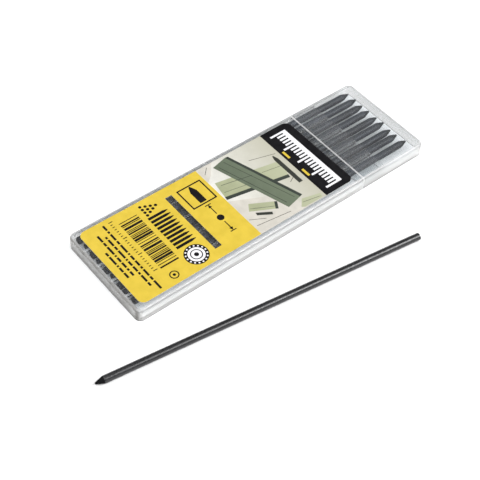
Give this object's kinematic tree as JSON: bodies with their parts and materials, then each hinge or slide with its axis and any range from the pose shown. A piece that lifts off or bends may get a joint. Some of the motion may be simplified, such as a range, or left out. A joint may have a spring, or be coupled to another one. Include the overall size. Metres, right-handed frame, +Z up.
{
  "type": "marking lead refill case",
  "caption": "Flat clear case with a pull-off cap and an adhesive label, holding a row of pointed graphite marking leads, with a loose lead lying beside it.",
  "frame": {"origin": "centre of the case's flat underside, on the surface it rests on", "axes": "+X along the case from its closed end to the cap, +Y across the leads away from the loose lead, +Z up through the label"},
  "size_m": [0.1611, 0.0742, 0.0061],
  "materials": {
    "clear_plastic": "clear and glossy, moulded",
    "label_stock": "smooth coated print, semi-gloss",
    "graphite": "drawn graphite, satin"
  },
  "bodies": {
    "case": {"case_body": "clear_plastic", "label": "label_stock"},
    "cap": {"case_cap": "clear_plastic"},
    "lead_1_body": {"lead_1": "graphite"},
    "lead_2_body": {"lead_2": "graphite"},
    "lead_3_body": {"lead_3": "graphite"},
    "lead_4_body": {"lead_4": "graphite"},
    "lead_5_body": {"lead_5": "graphite"},
    "lead_6_body": {"lead_6": "graphite"},
    "lead_7_body": {"lead_7": "graphite"},
    "lead_8_body": {"lead_8": "graphite"},
    "lead_9_body": {"lead_9": "graphite"},
    "loose_lead_body": {"loose_lead": "graphite"}
  },
  "joints": [
    {"name": "cap_pull", "type": "slide", "parent": "case", "child": "cap", "axis": [1, 0, 0], "range_m": [0, 0.05]},
    {"name": "lead_1_slide", "type": "slide", "parent": "case", "child": "lead_1_body", "axis": [1, 0, 0], "range_m": [-0.001, 0.0016]},
    {"name": "lead_2_slide", "type": "slide", "parent": "case", "child": "lead_2_body", "axis": [1, 0, 0], "range_m": [-0.0014, 0.0012]},
    {"name": "lead_3_slide", "type": "slide", "parent": "case", "child": "lead_3_body", "axis": [1, 0, 0], "range_m": [-0.001, 0.0016]},
    {"name": "lead_4_slide", "type": "slide", "parent": "case", "child": "lead_4_body", "axis": [1, 0, 0], "range_m": [-0.0011, 0.0015]},
    {"name": "lead_5_slide", "type": "slide", "parent": "case", "child": "lead_5_body", "axis": [1, 0, 0], "range_m": [-0.001, 0.0016]},
    {"name": "lead_6_slide", "type": "slide", "parent": "case", "child": "lead_6_body", "axis": [1, 0, 0], "range_m": [-0.0012, 0.0014]},
    {"name": "lead_7_slide", "type": "slide", "parent": "case", "child": "lead_7_body", "axis": [1, 0, 0], "range_m": [-0.0005, 0.0021]},
    {"name": "lead_8_slide", "type": "slide", "parent": "case", "child": "lead_8_body", "axis": [1, 0, 0], "range_m": [-0.0005, 0.0021]},
    {"name": "lead_9_slide", "type": "slide", "parent": "case", "child": "lead_9_body", "axis": [1, 0, 0], "range_m": [-0.0011, 0.0015]},
    {"name": "loose_lead_lift", "type": "slide", "parent": "case", "child": "loose_lead_body", "axis": [0, 0, 1], "range_m": [0, 0.05]}
  ]
}
